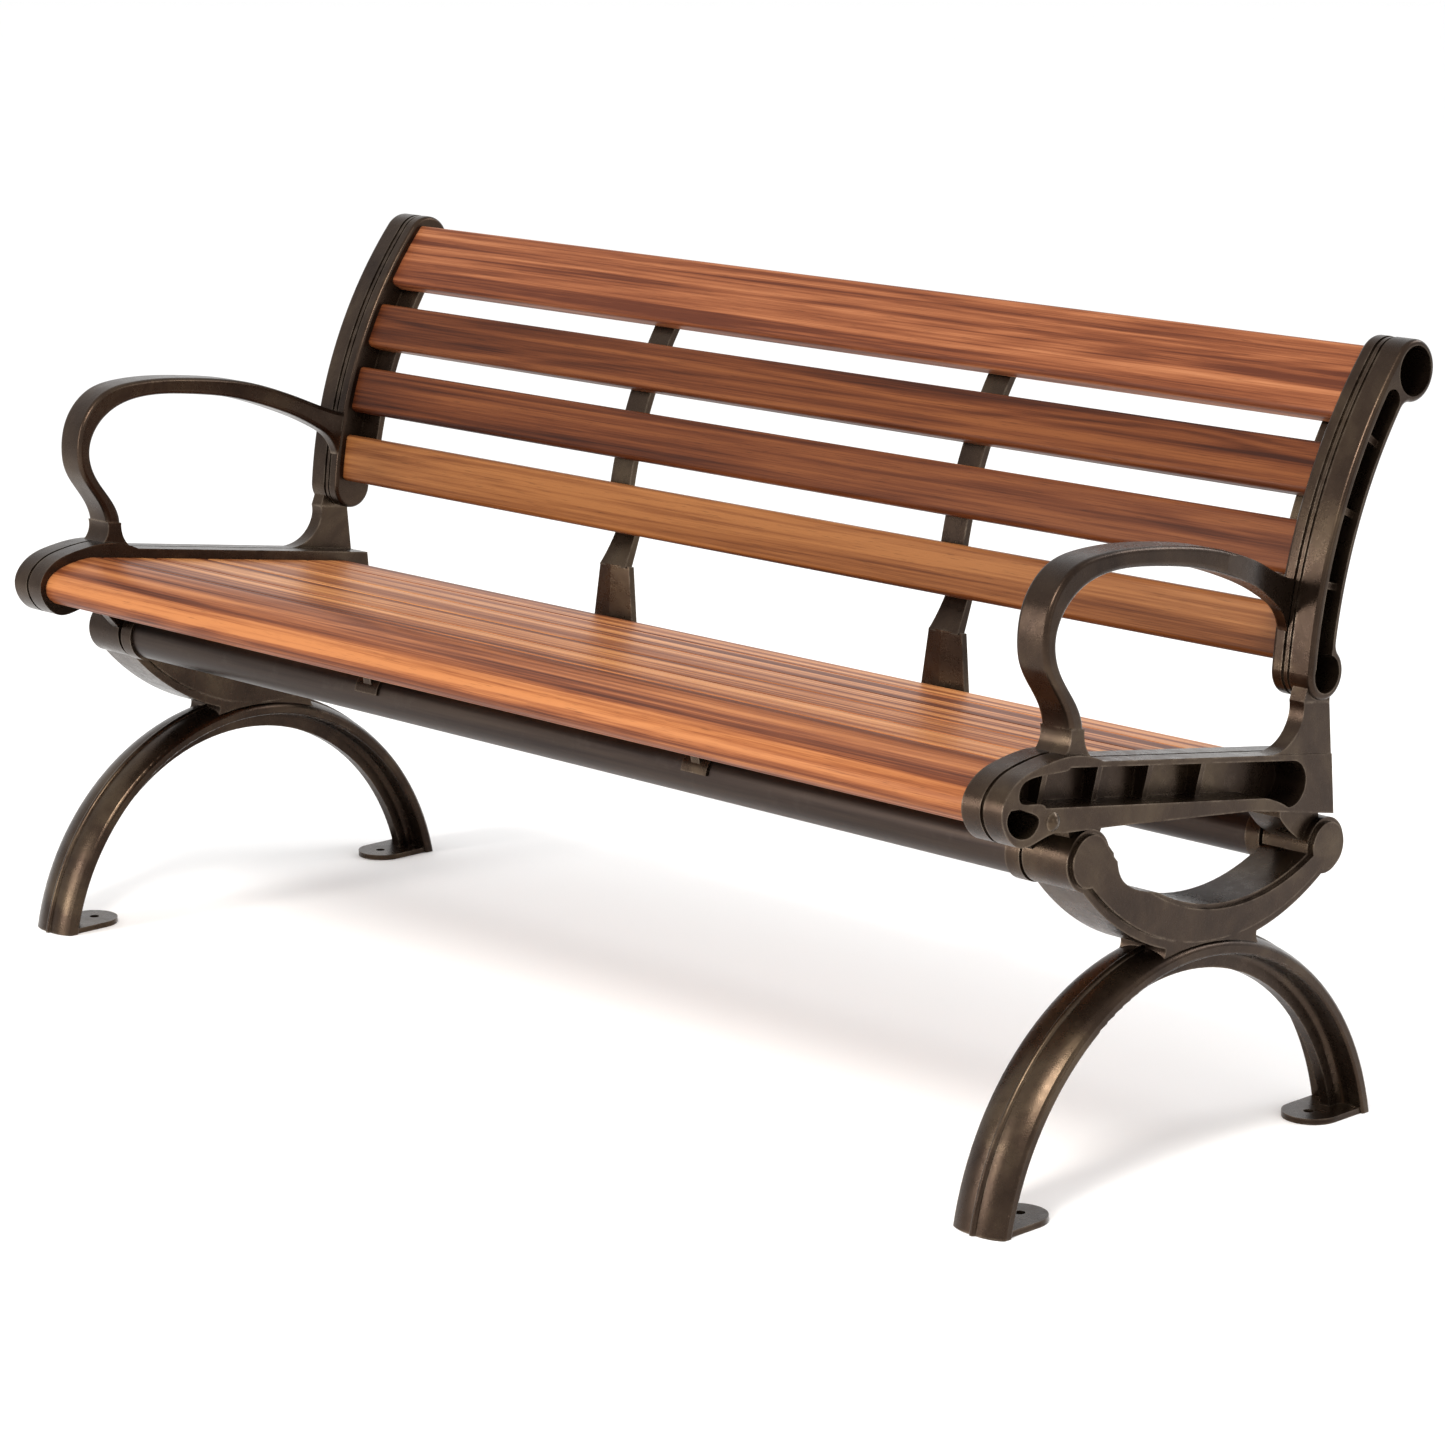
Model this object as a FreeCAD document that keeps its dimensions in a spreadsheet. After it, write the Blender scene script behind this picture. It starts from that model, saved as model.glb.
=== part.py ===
import FreeCAD, Part

import Sketcher

import math
import os

# Garden bench: two cast ends, two cast middle supports, two tie tubes, ten wooden slats.
# Millimetres. +X runs along the bench, the front faces -Y, +Z is up, and the floor is Z = 0.
# Everything above the leg arches leans back by the seat's tilt. Those pieces are drawn in a
# tilted plane: u runs to the rear and v runs up, from a pivot on the leg's centre line.

doc = FreeCAD.newDocument("GardenBench")

# name, value, what it is
DRIVING_SIZES = (
    ("casting_centre", 732, "X of the middle of an end casting"),
    ("tilt_angle", 8.3, "backward lean of the seat and back, degrees"),
    ("pivot_y", -10, "Y of the tilted plane's origin"),
    ("pivot_height", 230, "Z of the tilted plane's origin"),
    ("arch_centre_y", -22, "Y of the leg arch's centre"),
    ("arch_depth", 55, "how far the arch's centre lies below the floor"),
    ("arch_width", 66, "width of the arch's cap along X"),
    ("crown_radius", 292, "arch radius at the crown of the cap"),
    ("rim_radius", 282, "arch radius at the edge of the cap"),
    ("cap_inner_radius", 270, "arch radius under the cap"),
    ("web_inner_radius", 252, "arch radius at the inner edge of the web"),
    ("web_thickness", 12, "thickness of the arch's web"),
    ("bead_width", 7, "width of the raised bead along the crown"),
    ("foot_plate_thickness", 6, "thickness of a foot plate"),
    ("foot_plate_width", 60, "width of a foot plate"),
    ("anchor_radius", 5.5, "radius of an anchor hole"),
    ("anchor_offset", 218, "anchor hole's distance from the arch's centre"),
    ("leg_inset", 8, "leg's middle, inward of the casting's middle"),
    ("bowl_width", 64, "width of the bowl along X"),
    ("bowl_outer_radius", 281.5, "radius of the bowl's lower edge"),
    ("bowl_inner_radius", 249, "radius of the bowl's upper edge"),
    ("lip_width", 9, "width of the lip along the bowl's lower edge"),
    ("front_scroll_radius", 30, "radius of the bowl's front end"),
    ("rear_scroll_radius", 28.5, "radius of the bowl's rear end"),
    ("tube_radius", 26, "outer radius of a tie tube"),
    ("tube_wall", 3, "wall of a tie tube"),
    ("socket_radius", 29, "outer radius of the socket round a tie tube"),
    ("socket_depth", 18, "length of that socket"),
    ("set_screw_radius", 4, "radius of a set screw under a socket"),
    ("set_screw_length", 9, "length of a set screw"),
    ("rail_width", 50, "width of the seat frame along X"),
    ("rail_offset", 1, "seat frame's middle, outward of the casting's middle"),
    ("channel_floor", 12, "thickness left behind the seat frame's channel"),
    ("rib_thickness", 7, "thickness of a rib in the channel"),
    ("side_post_thickness", 18, "thickness of the seat frame's rear post"),
    ("side_post_offset", 15, "that post's middle, outward of the seat frame's middle"),
    ("slat_height", 170, "v of the top of the seat slats"),
    ("seat_slat_thickness", 22, "thickness of a seat slat"),
    ("seat_slat_width", 74, "width of a seat slat"),
    ("seat_slat_pitch", 76, "spacing of the seat slats"),
    ("ledge_reach", 30, "how far a slat ledge reaches inward"),
    ("ledge_thickness", 8, "thickness of a slat ledge"),
    ("back_frame_width", 50, "width of the back frame along X"),
    ("back_frame_offset", 5, "back frame's middle, outward of the casting's middle"),
    ("back_centre_u", 630, "u of the centre of the back's curve"),
    ("back_centre_v", 290, "v of the centre of the back's curve"),
    ("back_front_radius", 529, "radius of the back frame's front face"),
    ("back_rear_radius", 491, "radius of the back frame's rear face"),
    ("groove_offset", 6, "groove in the back frame's face, inward of that frame's middle"),
    ("groove_width", 10, "width of that groove"),
    ("stile_bead_width", 4, "width of the bead in the groove"),
    ("slat_face_radius", 520, "radius of the back slats' front faces"),
    ("back_slat_thickness", 21, "thickness of a back slat"),
    ("armrest_width", 38, "width of an armrest along X"),
    ("support_centre", 255, "X of a middle support"),
    ("strap_width", 32, "width of the strap behind the back slats"),
    ("strap_thickness", 8, "thickness of that strap"),
    ("post_foot_width", 66, "width of a middle post at the seat"),
    ("post_top_width", 47, "width of a middle post at its top"),
    ("post_thickness", 14, "depth of a middle post, ridge to rear face"),
    ("screw_radius", 2.5, "radius of a wood screw's shank"),
    ("screw_head_radius", 6, "radius of a wood screw's head"),
    ("bolt_radius", 5, "radius of a frame bolt's shank"),
    ("bolt_head_radius", 9, "radius of a frame bolt's domed head"),
)


def make_sheet():
    sheet = doc.addObject("Spreadsheet::Sheet", "Sizes")
    for row, (alias, value, meaning) in enumerate(DRIVING_SIZES, start=1):
        sheet.set(f"A{row}", alias)
        sheet.set(f"B{row}", str(value))
        sheet.set(f"C{row}", meaning)
        sheet.setAlias(f"B{row}", alias)
    doc.recompute()
    return sheet


sizes = make_sheet()
kept_nodes = []


def size(alias):
    return float(sizes.get(alias))


def vector(point):
    return FreeCAD.Vector(point[0], point[1], 0)


def polar(centre, radius, degrees):
    """A point on a circle, with its angle measured from the -u direction towards +v."""
    angle = math.radians(degrees)
    return (centre[0] - radius * math.cos(angle), centre[1] + radius * math.sin(angle))


def toward(centre, point, radius):
    """The point at a radius from the centre, on the line to another point."""
    reach = math.dist(centre, point)
    share = radius / reach
    return (centre[0] + (point[0] - centre[0]) * share, centre[1] + (point[1] - centre[1]) * share)


def keep(feature, label):
    feature.Label = label
    kept_nodes.append(feature)
    return feature


# ---------------------------------------------------------------- bodies, sketches, features

def make_body(name, x_expression="0", tilted=True):
    """A body whose origin is the tilted plane's origin, or the arch's centre if upright."""
    body = doc.addObject("PartDesign::Body", name)
    if tilted:
        body.Placement = FreeCAD.Placement(
            FreeCAD.Vector(0, 0, 0), FreeCAD.Rotation(FreeCAD.Vector(-1, 0, 0), size("tilt_angle"))
        )
        body.setExpression("Placement.Rotation.Angle", "Sizes.tilt_angle * 1 deg")
        body.setExpression("Placement.Base.y", "Sizes.pivot_y")
        body.setExpression("Placement.Base.z", "Sizes.pivot_height")
    else:
        body.setExpression("Placement.Base.y", "Sizes.arch_centre_y")
        body.setExpression("Placement.Base.z", "-Sizes.arch_depth")
    body.setExpression("Placement.Base.x", x_expression)
    return body


def make_sketch(body, name, plane="YZ_Plane", offset_expression=None):
    sketch = body.newObject("Sketcher::SketchObject", name)
    support = next(item for item in body.Origin.OriginFeatures if item.Role == plane)
    sketch.AttachmentSupport = [(support, "")]
    sketch.MapMode = "FlatFace"
    if offset_expression:
        sketch.setExpression("AttachmentOffset.Base.z", offset_expression)
    return sketch


def draw(sketch, start, *steps):
    """A closed outline. A step is ("line", end), ("arc", through, end) or ("curve", p, ..., end)."""
    here = start
    for kind, *points in steps:
        if kind == "line":
            piece = Part.LineSegment(vector(here), vector(points[0]))
        elif kind == "arc":
            piece = Part.ArcOfCircle(vector(here), vector(points[0]), vector(points[1]))
        else:
            piece = Part.BSplineCurve()
            piece.interpolate([vector(point) for point in [here, *points]])
        sketch.addGeometry(piece, False)
        here = points[-1]
    if math.dist(here, start) > 0.001:
        sketch.addGeometry(Part.LineSegment(vector(here), vector(start)), False)


def draw_circle(sketch, centre, alias):
    """A circle whose radius is held by the sheet."""
    index = sketch.addGeometry(Part.Circle(vector(centre), FreeCAD.Vector(0, 0, 1), size(alias)), False)
    row = sketch.addConstraint(Sketcher.Constraint("Radius", index, size(alias)))
    sketch.setExpression(f"Constraints[{row}]", f"Sizes.{alias}")


def draw_disc(sketch, centre, radius):
    sketch.addGeometry(Part.Circle(vector(centre), FreeCAD.Vector(0, 0, 1), radius), False)


def draw_box(sketch, low, high):
    draw(
        sketch,
        low,
        ("line", (high[0], low[1])),
        ("line", high),
        ("line", (low[0], high[1])),
        ("line", low),
    )


def pad(body, sketch, length_expression, both_ways=True, reverse=False):
    before = body.Shape.Volume if body.Tip else 0
    feature = body.newObject("PartDesign::Pad", sketch.Name + "_pad")
    feature.Profile = sketch
    feature.setExpression("Length", length_expression)
    feature.SideType = "Symmetric" if both_ways else "One side"
    feature.Reversed = reverse
    body.Tip = feature
    doc.recompute()
    if body.Shape.Volume < before + 1 or len(body.Shape.Solids) != 1:
        raise RuntimeError(f"{feature.Name} adds nothing, or leaves loose solids")
    return feature


def pocket(body, sketch, length_expression, both_ways=False, reverse=False):
    """Cuts a sketch out of a body, and stops if nothing was removed."""
    before = body.Shape.Volume
    feature = body.newObject("PartDesign::Pocket", sketch.Name + "_pocket")
    feature.Profile = sketch
    feature.setExpression("Length", length_expression)
    feature.SideType = "Symmetric" if both_ways else "One side"
    feature.Reversed = reverse
    body.Tip = feature
    doc.recompute()
    if body.Shape.Volume > before - 1 or len(body.Shape.Solids) != 1:
        raise RuntimeError(f"{feature.Name} removes nothing, or leaves loose solids")
    return feature


def revolve(body, sketch, degrees, axis="H_Axis", both_ways=True):
    feature = body.newObject("PartDesign::Revolution", sketch.Name + "_revolution")
    feature.Profile = sketch
    feature.ReferenceAxis = (sketch, [axis])
    feature.Angle = degrees
    feature.Midplane = both_ways
    body.Tip = feature
    doc.recompute()
    return feature


def round_edges(body, radius, chosen):
    """Fillets the edges for which chosen(edge) is true."""
    base = body.Tip
    names = [f"Edge{number}" for number, edge in enumerate(base.Shape.Edges, start=1) if chosen(edge)]
    feature = body.newObject("PartDesign::Fillet", f"{body.Name}_fillet_{len(body.Group)}")
    feature.Base = (base, names)
    feature.Radius = radius
    body.Tip = feature
    doc.recompute()
    if "Invalid" in feature.State or not feature.Shape.isValid():
        raise RuntimeError(f"{feature.Name} failed on {len(names)} edges")
    return feature


def loft(body, sections, ruled=False):
    """Joins sections drawn at different heights into one solid."""
    before = body.Shape.Volume if body.Tip else 0
    feature = body.newObject("PartDesign::AdditiveLoft", sections[0].Name + "_loft")
    feature.Profile = sections[0]
    feature.Sections = sections[1:]
    feature.Ruled = ruled
    body.Tip = feature
    doc.recompute()
    if body.Shape.Volume < before + 1 or len(body.Shape.Solids) != 1:
        raise RuntimeError(f"{feature.Name} adds nothing, or leaves loose solids")
    return feature


def mirror_left(right, label):
    """The matching piece at the other end of the bench."""
    left = doc.addObject("Part::Mirroring", label)
    left.Source = right
    left.Normal = FreeCAD.Vector(1, 0, 0)
    left.Base = FreeCAD.Vector(0, 0, 0)
    return keep(left, label)


def circle_cross(centre_a, radius_a, centre_b, radius_b, side):
    """Where two circles cross: side 1 is left of the line from a to b, side -1 is right of it."""
    reach = math.dist(centre_a, centre_b)
    along = (reach**2 + radius_a**2 - radius_b**2) / (2 * reach)
    across = side * math.sqrt(radius_a**2 - along**2)
    step_u = (centre_b[0] - centre_a[0]) / reach
    step_v = (centre_b[1] - centre_a[1]) / reach
    return (
        centre_a[0] + step_u * along - step_v * across,
        centre_a[1] + step_v * along + step_u * across,
    )


def arc_middle(centre, radius, start, end):
    """The middle of the shorter arc between two points of a circle."""
    return toward(centre, ((start[0] + end[0]) / 2, (start[1] + end[1]) / 2), radius)


def at_side(edge, x):
    """True for an edge that lies in the plane at local x."""
    box = edge.BoundBox
    return abs(box.XMin - x) < 0.01 and abs(box.XMax - x) < 0.01


# ---------------------------------------------------------------- places shared by the pieces

BOWL_OUTER_CENTRE = (-12, 273.5)
BOWL_INNER_CENTRE = (4, 286)
FRONT_SCROLL = (-188, 86)
REAR_SCROLL = (172, 88)
FRONT_TUBE = (-188, 84)
REAR_TUBE = (172, 88)
RAIL_TOP = 181
RIB_PLACES = (-244, -167, -93, -14)
SIDE_BOLT = (-252, 126)
ARMREST_JOINT = 210
POST_JOINT = 232
KNOB = (-502, -30)
TOP_SCROLL = (-419, 269)
KNOB_RADIUS = 26
TOP_SCROLL_RADIUS = 31
BACK_RIB_ANGLES = (6.3, 14.6, 23.1)
BACK_SLATS = ((24.7, 33.87), (15.7, 21.73), (6.7, 12.8), (-2.6, 3.55))
NOSE_SLAT_REAR = -242
SEAT_SLAT_COUNT = 6


# ---------------------------------------------------------------- leg: arch, foot plates, bowl

def on_leg(point):
    """A point of the tilted plane, in the leg's own upright plane about the arch's centre."""
    lean = math.radians(size("tilt_angle"))
    y = point[0] * math.cos(lean) + point[1] * math.sin(lean) + size("pivot_y")
    z = -point[0] * math.sin(lean) + point[1] * math.cos(lean) + size("pivot_height")
    return (y - size("arch_centre_y"), z + size("arch_depth"))


def bowl_band(sketch, outer_radius, inner_radius):
    """A crescent from one scroll to the other, between two circles with their own centres."""
    outer_ends = [toward(BOWL_OUTER_CENTRE, scroll, outer_radius) for scroll in (FRONT_SCROLL, REAR_SCROLL)]
    inner_ends = [toward(BOWL_INNER_CENTRE, scroll, inner_radius) for scroll in (REAR_SCROLL, FRONT_SCROLL)]
    outer_low = (BOWL_OUTER_CENTRE[0], BOWL_OUTER_CENTRE[1] - outer_radius)
    inner_low = (BOWL_INNER_CENTRE[0], BOWL_INNER_CENTRE[1] - inner_radius)
    draw(
        sketch,
        on_leg(outer_ends[0]),
        ("arc", on_leg(outer_low), on_leg(outer_ends[1])),
        ("line", on_leg(inner_ends[0])),
        ("arc", on_leg(inner_low), on_leg(inner_ends[1])),
        ("line", on_leg(outer_ends[0])),
    )


def arch_section(sketch):
    """Half of it is mirrored: web, cap with a soft crown on each side, and a bead on the middle."""
    web = size("web_thickness") / 2
    half = size("arch_width") / 2
    under = size("cap_inner_radius")
    rim = size("rim_radius")
    crown = size("crown_radius")
    bead = size("bead_width") / 2
    fillet = 7
    edge = 3
    right = [
        ("line", (web, under - fillet)),
        ("arc", (web + fillet * 0.29, under - fillet * 0.29), (web + fillet, under)),
        ("line", (half - edge, under)),
        ("arc", (half - edge * 0.29, under + edge * 0.29), (half, under + edge)),
        ("line", (half, rim - edge)),
        ("arc", (half - edge * 0.35, rim - edge * 0.35), (half - edge, rim + 0.8)),
        ("arc", (half * 0.55, crown - 4.4), (bead, crown - 3)),
    ]
    start = (-web, size("web_inner_radius"))
    steps = [("line", (web, start[1])), *right]
    steps.append(("arc", (0, crown), (-bead, crown - 3)))
    steps.append(("arc", (-half * 0.55, crown - 4.4), (-half + edge, rim + 0.8)))
    steps.append(("arc", (-half + edge * 0.35, rim - edge * 0.35), (-half, rim - edge)))
    steps.append(("line", (-half, under + edge)))
    steps.append(("arc", (-half + edge * 0.29, under + edge * 0.29), (-half + edge, under)))
    steps.append(("line", (-web - fillet, under)))
    steps.append(("arc", (-web - fillet * 0.29, under - fillet * 0.29), (-web, under - fillet)))
    steps.append(("line", start))
    draw(sketch, start, *steps)


def add_foot_plate(body, facing):
    """A tab that runs inward from under the cap to a round end, with an anchor hole."""
    half = size("foot_plate_width") / 2
    floor = size("arch_depth")
    outer = facing * math.sqrt(size("cap_inner_radius") ** 2 - floor**2)
    tip = facing * (size("anchor_offset") - half + 4)
    round_start = tip + facing * half
    end = "rear" if facing > 0 else "front"
    plate = make_sketch(body, f"foot_plate_{end}", "XY_Plane", "Sizes.arch_depth")
    draw(
        plate,
        (-half, outer),
        ("line", (-half, round_start)),
        ("arc", (0, tip), (half, round_start)),
        ("line", (half, outer)),
        ("line", (-half, outer)),
    )
    pad(body, plate, "Sizes.foot_plate_thickness", both_ways=False)


def make_leg():
    leg = make_body("leg_body", "Sizes.casting_centre - Sizes.leg_inset", tilted=False)
    lip = size("lip_width")
    for layer, inset, width in (("lip", 0, "Sizes.bowl_width - 8"), ("face", lip, "Sizes.bowl_width")):
        bowl = make_sketch(leg, f"bowl_{layer}")
        bowl_band(bowl, size("bowl_outer_radius") - inset, size("bowl_inner_radius") + inset / 2)
        pad(leg, bowl, width)
        for name, centre in (("front_scroll", FRONT_SCROLL), ("rear_scroll", REAR_SCROLL)):
            scroll = make_sketch(leg, f"{name}_{layer}")
            radius = size(name + "_radius") - inset / 2
            draw_disc(scroll, on_leg(centre), radius)
            pad(leg, scroll, width)

    corner = make_sketch(leg, "opening_corner")
    draw(
        corner,
        on_leg((-79, 51)),
        (
            "curve",
            on_leg((-108, 55)),
            on_leg((-128, 60)),
            on_leg((-143, 70)),
            on_leg((-151, 87)),
            on_leg((-156, 106)),
        ),
        ("line", on_leg((-120, 106))),
        ("line", on_leg((-79, 66))),
        ("line", on_leg((-79, 51))),
    )
    pocket(leg, corner, "Sizes.bowl_width + 10", both_ways=True)

    arch = make_sketch(leg, "arch_section", "XZ_Plane")
    arch_section(arch)
    revolve(leg, arch, 172)
    below = make_sketch(leg, "below_floor")
    draw_box(below, (-320, -30), (320, size("arch_depth")))
    pocket(leg, below, "Sizes.arch_width + 20", both_ways=True)
    for facing in (-1, 1):
        add_foot_plate(leg, facing)

    neck = make_sketch(leg, "neck")
    draw(
        neck,
        on_leg((-66, -20)),
        ("arc", on_leg((-58, -9)), on_leg((-66, 3))),
        ("line", on_leg((90, 20))),
        ("arc", on_leg((79, 10)), on_leg((92, -9))),
        ("line", on_leg((13, -6))),
        ("line", on_leg((-66, -20))),
    )
    pad(leg, neck, "Sizes.bowl_width - 8")

    lug = make_sketch(leg, "rear_lug")
    draw(
        lug,
        on_leg((104, rail_bottom(104))),
        ("line", on_leg((164, rail_bottom(164)))),
        ("line", on_leg((172, 100))),
        ("line", on_leg((150, 90))),
        ("arc", on_leg((126, 100)), on_leg((104, rail_bottom(104) - 8))),
        ("line", on_leg((104, rail_bottom(104)))),
    )
    pad(leg, lug, "40")
    shelf = make_sketch(leg, "front_lug")
    draw(
        shelf,
        on_leg((-214, rail_bottom(-214))),
        ("line", on_leg((-164, rail_bottom(-164)))),
        ("line", on_leg((-170, 100))),
        ("line", on_leg((-206, 100))),
        ("line", on_leg((-214, rail_bottom(-214)))),
    )
    pad(leg, shelf, "40")
    ear = make_sketch(leg, "front_ear", offset_expression="Sizes.leg_inset + 2 - Sizes.bowl_width / 2")
    draw(
        ear,
        on_leg((SIDE_BOLT[0] - 4, SIDE_BOLT[1] + 11)),
        ("arc", on_leg((SIDE_BOLT[0] - 11, SIDE_BOLT[1] - 4)), on_leg((SIDE_BOLT[0] + 4, SIDE_BOLT[1] - 11))),
        ("line", on_leg((-200, 76))),
        ("line", on_leg((-180, 96))),
        ("line", on_leg((SIDE_BOLT[0] - 4, SIDE_BOLT[1] + 11))),
    )
    pad(leg, ear, "12")

    for name, centre in (("front_socket", FRONT_TUBE), ("rear_socket", REAR_TUBE)):
        socket = make_sketch(leg, name, offset_expression="-Sizes.bowl_width / 2")
        draw_circle(socket, on_leg(centre), "socket_radius")
        pad(leg, socket, "Sizes.socket_depth", both_ways=False, reverse=True)
        bore = make_sketch(leg, name + "_bore", offset_expression="-Sizes.bowl_width / 2")
        draw_circle(bore, on_leg(centre), "tube_radius")
        pocket(leg, bore, "Sizes.socket_depth + 5", reverse=False)
        run, height = on_leg(centre)
        tapped = make_sketch(leg, name + "_screw_hole", "XY_Plane", f"{height}")
        draw_circle(tapped, (-(size("bowl_width") + size("socket_depth")) / 2, run), "set_screw_radius")
        pocket(leg, tapped, "Sizes.socket_radius + 5")

    ear_hole = make_sketch(leg, "ear_bolt_hole", offset_expression="-Sizes.bowl_width / 2")
    draw_circle(ear_hole, on_leg(SIDE_BOLT), "bolt_radius")
    pocket(leg, ear_hole, "30", both_ways=True)
    for facing in (-1, 1):
        end = "rear" if facing > 0 else "front"
        hole = make_sketch(leg, f"anchor_hole_{end}", "XY_Plane", "Sizes.arch_depth")
        draw_circle(hole, (0, facing * size("anchor_offset")), "anchor_radius")
        pocket(leg, hole, "40", both_ways=True)
    keep(leg, "leg_right")
    mirror_left(leg, "leg_left")


# ---------------------------------------------------------------- seat frame

def rail_bottom(u):
    """The rail's underside is a straight run behind u = -164 and dips towards the nose ahead of it."""
    if u < -164:
        return 119 + (u + 164) * 0.045
    if u < 40:
        return 119 + (u + 164) * 8 / 204
    return 127 - (u - 40) * 6 / 131


def rail_outline(inset):
    """The seat frame's side outline, drawn in by an inset all round."""
    top = RAIL_TOP - inset
    return (
        (171 - inset, 121 + inset),
        ("line", (156.4 - inset, top)),
        ("line", (-190, top)),
        (
            "curve",
            (-228, 187 - inset),
            (-280 + inset * 0.4, 176.5 - inset),
            (-312 + inset * 0.8, 160 - inset * 0.6),
            (-324 + inset, 138),
            (-314 + inset * 0.7, 114 + inset * 0.7),
            (-293, 103 + inset),
            (-266 - inset * 0.3, 110 + inset),
            (-236, 115 + inset),
        ),
        ("line", (-164, 119 + inset)),
        ("line", (40, 127 + inset)),
        ("line", (171 - inset, 121 + inset)),
    )


def make_seat_frame():
    frame = make_body("seat_frame_body", "Sizes.casting_centre + Sizes.rail_offset")
    half = size("rail_width") / 2

    core = make_sketch(frame, "rail_core")
    draw(core, *rail_outline(2.5))
    pad(frame, core, "Sizes.rail_width - 4")
    for name, side in (("inner_lobe", -1), ("outer_lobe", 1)):
        lobe = make_sketch(frame, name, offset_expression=f"{side} * (Sizes.rail_width / 4 + 1)")
        draw(lobe, *rail_outline(0))
        pad(frame, lobe, "Sizes.rail_width / 2 - 2")

    channel = make_sketch(frame, "channel", offset_expression="Sizes.channel_floor - Sizes.rail_width / 2")
    draw(
        channel,
        (-264, 139),
        ("line", (58, 139)),
        ("curve", (80, 135), (97, 129)),
        ("arc", (120, 152), (97, 175)),
        ("line", (-236, 176)),
        ("curve", (-282, 168.5), (-303, 156), (-302, 147), (-288, 143), (-264, 139)),
    )
    pocket(frame, channel, "Sizes.rail_width", reverse=True)
    hollow = make_sketch(frame, "nose_hollow", offset_expression="Sizes.channel_floor - Sizes.rail_width / 2")
    draw(
        hollow,
        (-312, 138),
        ("curve", (-316, 128), (-308, 116), (-292, 111), (-276, 117), (-272, 128), (-284, 135), (-300, 139)),
        ("line", (-312, 138)),
    )
    pocket(frame, hollow, "Sizes.rail_width", reverse=True)
    floor = size("channel_floor") - half
    for number, place in enumerate(RIB_PLACES, start=1):
        rib = make_sketch(frame, f"rib_{number}", "XZ_Plane", f"{-place}")
        draw(
            rib,
            (floor - 1, 137),
            ("line", (floor + 12, 137)),
            ("line", (floor + 17, 178)),
            ("line", (floor - 1, 178)),
            ("line", (floor - 1, 137)),
        )
        pad(frame, rib, "Sizes.rib_thickness")

    post = make_sketch(frame, "post", offset_expression="Sizes.side_post_offset")
    draw(
        post,
        (163.9, 150),
        ("line", (144, POST_JOINT)),
        ("line", (103, POST_JOINT)),
        ("curve", (105, 222), (101, 206), (91, 193), (76, 184), (54, 180.5)),
        ("line", (54, 178.5)),
        ("line", (124, 178.5)),
        ("line", (124, 150)),
        ("line", (163.9, 150)),
    )
    pad(frame, post, "Sizes.side_post_thickness")

    stub = make_sketch(frame, "armrest_stub", offset_expression="-Sizes.rail_offset")
    draw(
        stub,
        (-233, ARMREST_JOINT),
        ("line", (-214, ARMREST_JOINT)),
        ("arc", (-208, 192), (-192, 180)),
        ("line", (-246, 180)),
        ("arc", (-233, 192), (-233, ARMREST_JOINT)),
    )
    pad(frame, stub, "Sizes.armrest_width")

    ledge = make_sketch(frame, "slat_ledge", offset_expression="-Sizes.rail_width / 2 + 5")
    under_slats = size("slat_height") - size("seat_slat_thickness")
    draw_box(ledge, (-262, under_slats - size("ledge_thickness")), (130, under_slats))
    pad(frame, ledge, "Sizes.ledge_reach + 5", both_ways=False, reverse=True)

    bolt = make_sketch(frame, "side_bolt_hole")
    draw_circle(bolt, SIDE_BOLT, "bolt_radius")
    pocket(frame, bolt, "Sizes.rail_width * 2", both_ways=True)
    keep(frame, "seat_frame_right")
    mirror_left(frame, "seat_frame_left")


# ---------------------------------------------------------------- back frame

def make_back_body(name, x_expression):
    """A body whose origin is the centre of the back's curve."""
    body = make_body(name, x_expression)
    lean = "Sizes.tilt_angle * 1 deg"
    body.setExpression(
        "Placement.Base.y",
        f"Sizes.pivot_y + Sizes.back_centre_u * cos({lean}) + Sizes.back_centre_v * sin({lean})",
    )
    body.setExpression(
        "Placement.Base.z",
        f"Sizes.pivot_height - Sizes.back_centre_u * sin({lean}) + Sizes.back_centre_v * cos({lean})",
    )
    return body


def back_outline(inset):
    """The curved stile with a knob at its foot and a scroll at its top, drawn in by an inset."""
    centre = (0, 0)
    front = size("back_front_radius") - inset
    rear = size("back_rear_radius") + inset
    knob = KNOB_RADIUS - inset
    scroll = TOP_SCROLL_RADIUS - inset
    blend = 14
    top_blend = circle_cross(centre, rear - blend, TOP_SCROLL, scroll + blend, 1)
    low_blend = circle_cross(centre, rear - blend, KNOB, knob + blend, -1)
    top_on_scroll = toward(TOP_SCROLL, top_blend, scroll)
    top_on_rear = toward(centre, top_blend, rear)
    low_on_rear = toward(centre, low_blend, rear)
    low_on_knob = toward(KNOB, low_blend, knob)
    front_low = toward(centre, KNOB, front)
    front_top = toward(centre, TOP_SCROLL, front)
    return (
        front_low,
        ("arc", polar(centre, front, 15), front_top),
        ("arc", (TOP_SCROLL[0] + scroll * 0.6, TOP_SCROLL[1] + scroll * 0.8), top_on_scroll),
        (
            "arc",
            toward(top_blend, arc_middle(top_blend, blend, top_on_scroll, top_on_rear), blend),
            top_on_rear,
        ),
        ("arc", polar(centre, rear, 15), low_on_rear),
        ("arc", arc_middle(low_blend, blend, low_on_rear, low_on_knob), low_on_knob),
        ("arc", (KNOB[0] + knob * 0.6, KNOB[1] - knob * 0.8), front_low),
    )


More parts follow.
